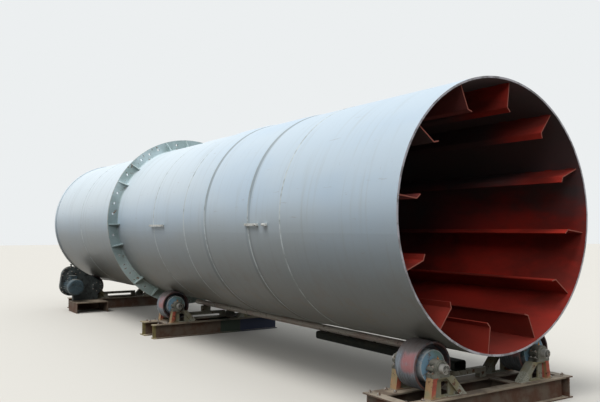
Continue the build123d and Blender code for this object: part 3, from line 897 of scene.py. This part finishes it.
# Gear case: cover bosses, flange bolts round the edge, oil plug and breather
driveAt = spins["far_left_roller"]
case = {
    "face": driveAt.x + 0.325, "back": driveAt.x + 0.225, "motorRise": 0.038, "motorOffset": 0.5,
    "topRise": 0.225, "topOffset": 0.48, "topRadius": 0.185, "inset": 0.016, "bolt": 0.009,
}
cover = {
    "top": 0.105, "roller": 0.098, "bore": 0.044, "sunk": 0.001, "proud": 0.014, "shoulder": 0.011,
    "edge": 0.004, "steps": 48, "bolts": 6, "firstBolt": 30, "boltInset": 0.018,
    "cap": (0.007, 0.047, 0.016, 36, 0.003),
}
breather = {"stem": (0.012, 0.014, 0.030, 20, 0.002), "hat": (0.034, 0.022, 0.018, 24, 0.004)}
plug = {"across": -0.20, "up": -0.13, "stud": (0.006, 0.020, 0.014, 6, 0.002)}
rollerAt = Vector((case["face"], driveAt.y, driveAt.z))
motorAt = rollerAt + Vector((0, -case["motorOffset"], case["motorRise"]))
topAt = rollerAt + Vector((0, -case["topOffset"], case["topRise"]))
edges = (  # centre, radius, first and last angle, number of bolts
    (topAt, case["topRadius"], 20, 175, 7), (motorAt, 0.190, 190, 240, 3), (rollerAt, 0.130, -30, 50, 4),
)
mesh = bmesh.new()
nuts = bmesh.new()
face = case["face"]
front = face + cover["proud"]
for centre, radius in ((topAt, cover["top"]), (rollerAt, cover["roller"])):
    outline = [(face - cover["sunk"], cover["bore"]), (face - cover["sunk"], radius),
               (face + cover["shoulder"], radius), (front, radius - cover["edge"]), (front, cover["bore"])]
    addRing(mesh, outline, (centre.y, centre.z), cover["steps"])
    for number in range(cover["bolts"]):
        angle = cover["firstBolt"] + number * 360 / cover["bolts"]
        place = onCircle((front, centre.y, centre.z), radius - cover["boltInset"], angle)
        addBolt(nuts, place, (1, 0, 0), case["bolt"])
addStud(mesh, topAt, (1, 0, 0), cover["cap"])
for centre, radius, first, last, count in edges:
    for number in range(count):
        angle = first + (last - first) * number / (count - 1)
        addBolt(nuts, onCircle(centre, radius - case["inset"], angle), (1, 0, 0), case["bolt"])
crown = Vector(((case["face"] + case["back"]) / 2, topAt.y, topAt.z + case["topRadius"]))
for part in breather.values():
    addStud(mesh, crown, (0, 0, 1), part)
addStud(mesh, rollerAt + Vector((0, plug["across"], plug["up"])), (1, 0, 0), plug["stud"])
keep("caseCovers", mesh, "case", "stands")
keep("caseBolts", nuts, "bolt", "stands")


# Motor: guard rings and spokes over the fan, the cowl's screws, the terminal box's lid and its gland
motor = {
    "length": 0.42, "rings": (0.028, 0.046, 0.064, 0.082, 0.100), "steps": 40,
    "wire": ((-0.001, -0.003), (0.004, -0.002), (0.004, 0.002), (-0.001, 0.003)),
    "hub": (0.003, 0.018, 0.010, 24, 0.002), "spokes": 8, "spoke": (0.016, 0.112), "spokeLift": 0.002,
    "spokeBead": 0.0035, "screwBack": 0.05, "screw": (0.149, 0.006, 0.008, 12, 0.001),
    "boxMiddle": 0.155, "boxTop": 0.196, "lid": (0.160, 0.130, 0.012), "lidLift": 0.003,
    "lidScrews": (0.066, 0.051), "lidScrew": (0.011, 0.006, 0.006, 12, 0.001),
    "gland": ((-0.070, 0.019, 0.020, 6, 0.002), (-0.083, 0.014, 0.014, 20, 0.003)), "glandUp": -0.045,
}
mesh = bmesh.new()
endAt = motorAt + Vector((motor["length"], 0, 0))
for radius in motor["rings"]:
    outline = [(endAt.x + out, radius + wider) for out, wider in motor["wire"]]
    addRing(mesh, outline, (motorAt.y, motorAt.z), motor["steps"])
addStud(mesh, endAt, (1, 0, 0), motor["hub"])
for number in range(motor["spokes"]):
    outwards = onCircle((0, 0, 0), 1, number * 360 / motor["spokes"])
    middle = endAt + Vector((motor["spokeLift"], 0, 0))
    inner, outer = (middle + outwards * reach for reach in motor["spoke"])
    addBead(mesh, inner, outer, motor["spokeBead"])
    addStud(mesh, endAt - Vector((motor["screwBack"], 0, 0)), outwards, motor["screw"])
boxAt = motorAt + Vector((motor["boxMiddle"], 0, motor["boxTop"]))
addBlock(mesh, boxAt + Vector((0, 0, motor["lidLift"])), motor["lid"])
shiftX, shiftY = motor["lidScrews"]
for shift in ((-shiftX, -shiftY), (-shiftX, shiftY), (shiftX, -shiftY), (shiftX, shiftY)):
    addStud(mesh, boxAt + Vector((*shift, 0)), (0, 0, 1), motor["lidScrew"])
for part in motor["gland"]:
    addStud(mesh, boxAt + Vector((0, 0, motor["glandUp"])), (0, 1, 0), part)
keep("motorFittings", mesh, "motor", "stands")


# Plinth: corner welds between its deck and cheeks
plinth = {
    "front": driveAt.x + 0.25, "reach": 0.56, "middle": driveAt.y - 0.21, "weldOut": 0.281, "deck": 0.18,
    "inset": 0.004, "bead": 0.007,
}
mesh = bmesh.new()
for side in (-1, 1):
    place = (plinth["middle"] + side * plinth["weldOut"], plinth["deck"])
    addBead(mesh, (plinth["front"] + plinth["inset"], *place),
            (plinth["front"] + plinth["reach"] - plinth["inset"], *place), plinth["bead"])
keep("plinthWelds", mesh, "beam", "stands")
print("drive pieces done; triangles added:", sum(counts.values()), "most in one:", max(counts.values()))


# Floor and sky: both show pale to the camera and light the drum at a plain level
stage = {
    "floorPale": tint(206, 202, 194), "floorDark": tint(92, 83, 72), "half": 60.0,
    "backdrop": tint(236, 239, 240), "skyStrength": 1.35,
    "skyStops": [(0.0, (0.05, 0.052, 0.055, 1)), (0.3, (0.20, 0.21, 0.22, 1)),
                 (0.6, (0.52, 0.545, 0.57, 1)), (0.95, (0.66, 0.69, 0.72, 1))],
}


def shown(sheet):
    # 1 for what the camera sees straight on, in a mirror or through glass
    straight, mirrored, through = sheet.node(
        "ShaderNodeLightPath", out=("Is Camera Ray", "Is Glossy Ray", "Is Transmission Ray"))
    return straight + mirrored + through


floorMesh = bmesh.new()
bmesh.ops.create_grid(floorMesh, x_segments=1, y_segments=1, size=stage["half"])
floorData = bpy.data.meshes.new("floor")
floorMesh.to_mesh(floorData)
floorMesh.free()
floor = bpy.data.objects.new("floor", floorData)
bpy.context.scene.collection.objects.link(floor)
floorPaint = bpy.data.materials.new("floorPaint")
floorPaint.use_nodes = True
floorSheet = Sheet(floorPaint.node_tree)
floorShader = floorSheet.node("ShaderNodeMixShader", sockets={
    0: shown(floorSheet),
    1: floorSheet.node("ShaderNodeBsdfDiffuse", sockets={"Color": stage["floorDark"]}),
    2: floorSheet.node("ShaderNodeBsdfDiffuse", sockets={"Color": stage["floorPale"]})})
floorSheet.node("ShaderNodeOutputMaterial", sockets={"Surface": floorShader})
floorData.materials.append(floorPaint)

world = bpy.data.worlds.new("softSky")
bpy.context.scene.world = world
world.use_nodes = True
sky = Sheet(world.node_tree)
upwards = axesOf(sky.node("ShaderNodeTexCoord", out="Generated"))[2]
gradient = sky.node("ShaderNodeValToRGB", {"stops": stage["skyStops"]}, {"Fac": upwards}, "Color")
light = sky.node("ShaderNodeBackground", sockets={"Color": gradient, "Strength": stage["skyStrength"]})
backdrop = sky.node("ShaderNodeBackground", sockets={"Color": stage["backdrop"], "Strength": 1.0})
whole = sky.node("ShaderNodeMixShader", sockets={0: shown(sky), 1: light, 2: backdrop})
sky.node("ShaderNodeOutputWorld", sockets={"Surface": whole})

# one soft light from above and the left, and a weaker one that reaches into the near mouth
lights = {
    "softSun": {"energy": 2.0, "angle": 30, "from": (0.06, -0.40, 0.91)},
    "mouthLight": {"energy": 0.6, "angle": 24, "from": (0.60, -0.58, 0.55)},
}
for name, values in lights.items():
    lamp = bpy.data.objects.new(name, bpy.data.lights.new(name, "SUN"))
    lamp.data.energy = values["energy"]
    lamp.data.angle = math.radians(values["angle"])
    lamp.rotation_euler = Vector(values["from"]).to_track_quat("Z", "Y").to_euler()
    bpy.context.scene.collection.objects.link(lamp)
bpy.context.scene.view_settings.view_transform = "Standard"
print("floor, sky and", len(lights), "lamps done")
